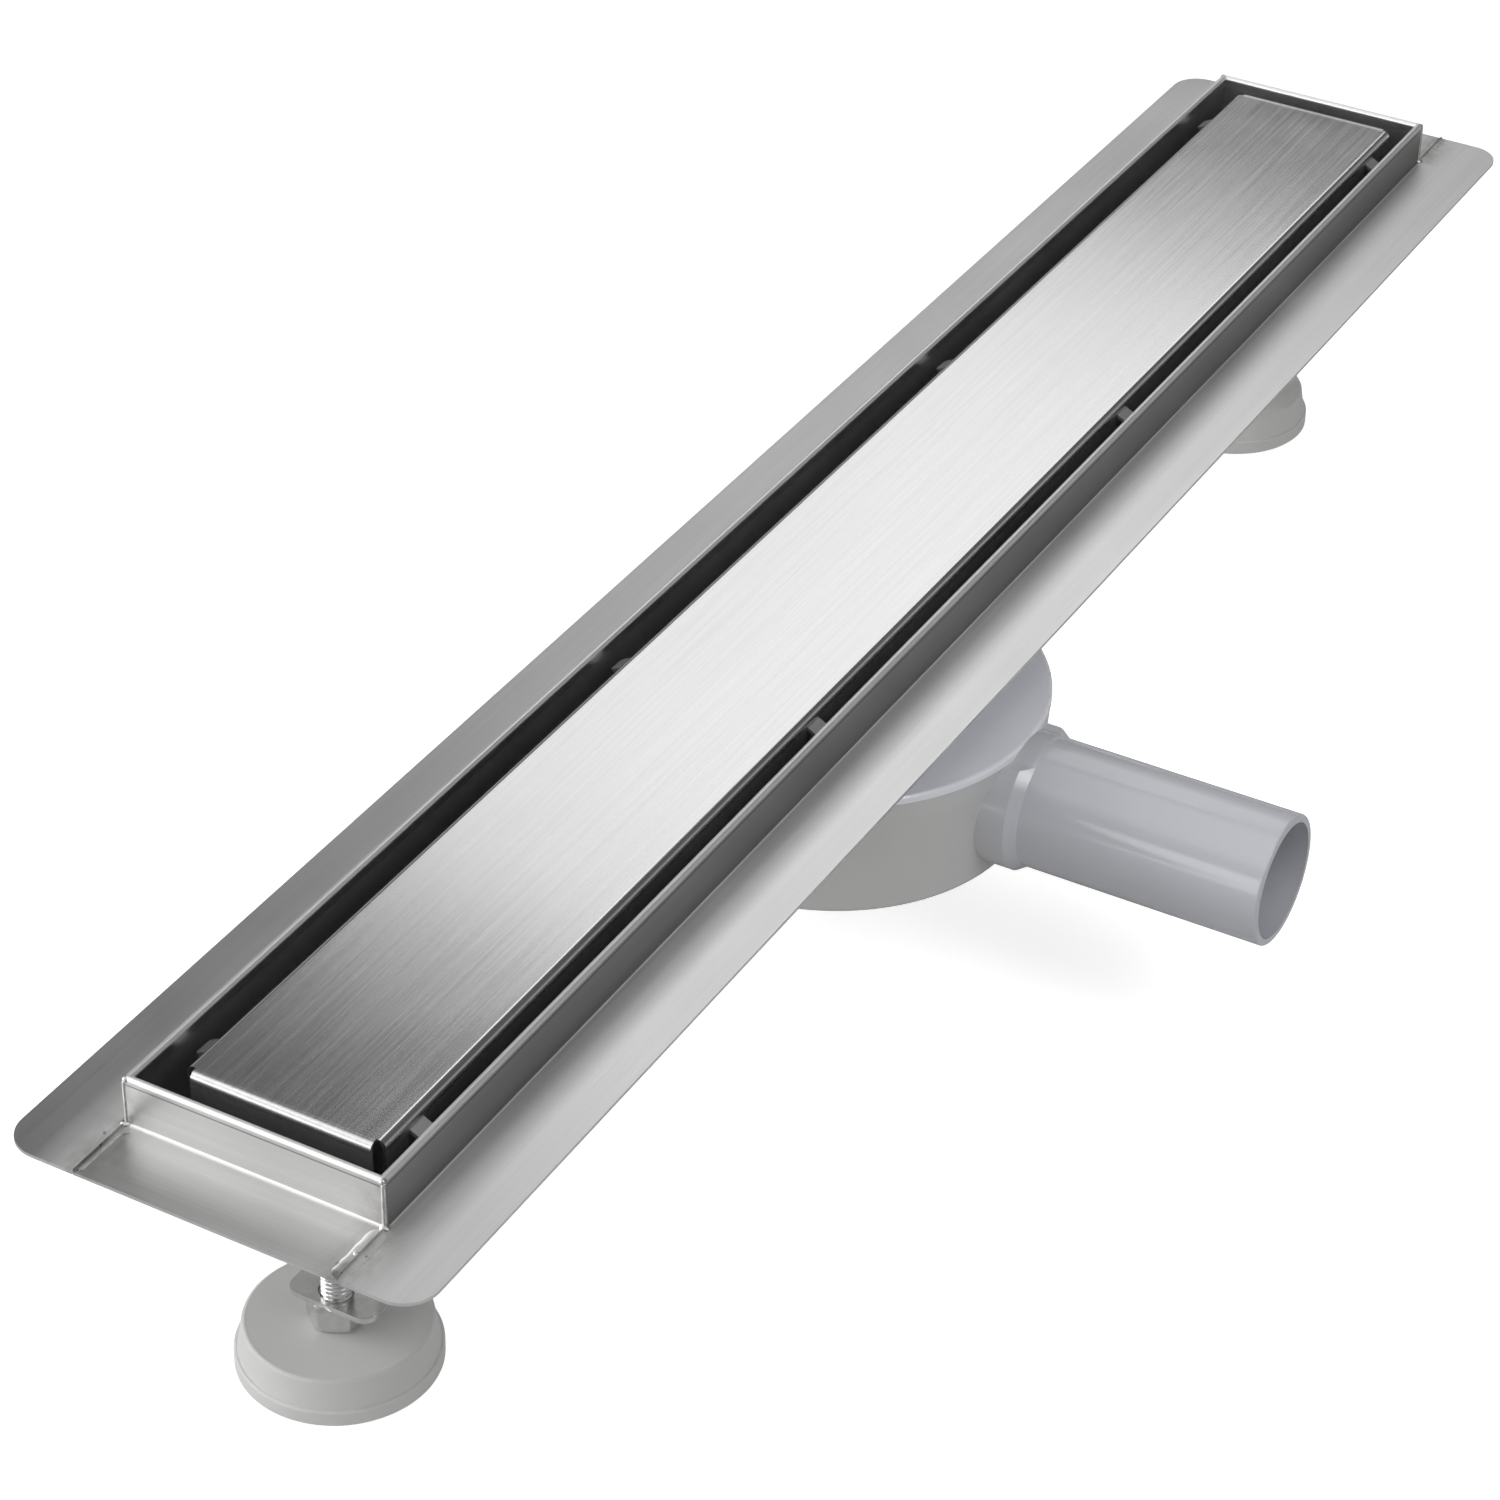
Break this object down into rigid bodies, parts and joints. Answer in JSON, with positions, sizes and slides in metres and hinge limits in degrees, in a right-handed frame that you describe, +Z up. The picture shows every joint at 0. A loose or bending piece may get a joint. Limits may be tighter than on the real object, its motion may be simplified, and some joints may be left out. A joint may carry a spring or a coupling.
{
  "type": "linear shower drain",
  "caption": "Long low floor drain: folded steel channel with sealing flange and raised rim, loose solid cover, round plastic trap with side outlet pipe, and levelling feet.",
  "frame": {"origin": "centre of the cover's flat top face", "axes": "+X across the channel towards the outlet pipe, +Y along the channel, +Z up"},
  "size_m": [0.194, 0.639, 0.0905],
  "materials": {
    "channel_steel": "satin",
    "cover_steel": "brushed along the length",
    "zinc_steel": "bright zinc",
    "trap_plastic": "gloss",
    "pad_plastic": "matt",
    "seal_rubber": "matt"
  },
  "bodies": {
    "drain": {"channel_body": "channel_steel", "end_piece_near": "channel_steel", "end_piece_far": "channel_steel", "cover_plate": "cover_steel", "cover_bridges": "channel_steel", "hair_strainer": "cover_steel", "outlet_gasket": "seal_rubber", "insert_o_ring": "seal_rubber", "clamp_ring": "trap_plastic", "trap_lid": "trap_plastic", "trap_body": "trap_plastic", "dip_tube": "trap_plastic", "seal_cup": "trap_plastic", "foot_bracket_near": "zinc_steel", "foot_bracket_far": "zinc_steel", "foot_nut_near": "zinc_steel", "foot_nut_far": "zinc_steel"},
    "near_foot": {"foot_stud_near": "zinc_steel", "foot_pad_near": "pad_plastic"},
    "far_foot": {"foot_stud_far": "zinc_steel", "foot_pad_far": "pad_plastic"}
  },
  "joints": [
    {"name": "near_foot_level", "type": "slide", "parent": "drain", "child": "near_foot", "axis": [0, 0, -1], "range_m": [0, 0.025]},
    {"name": "far_foot_level", "type": "slide", "parent": "drain", "child": "far_foot", "axis": [0, 0, -1], "range_m": [0, 0.025]}
  ]
}
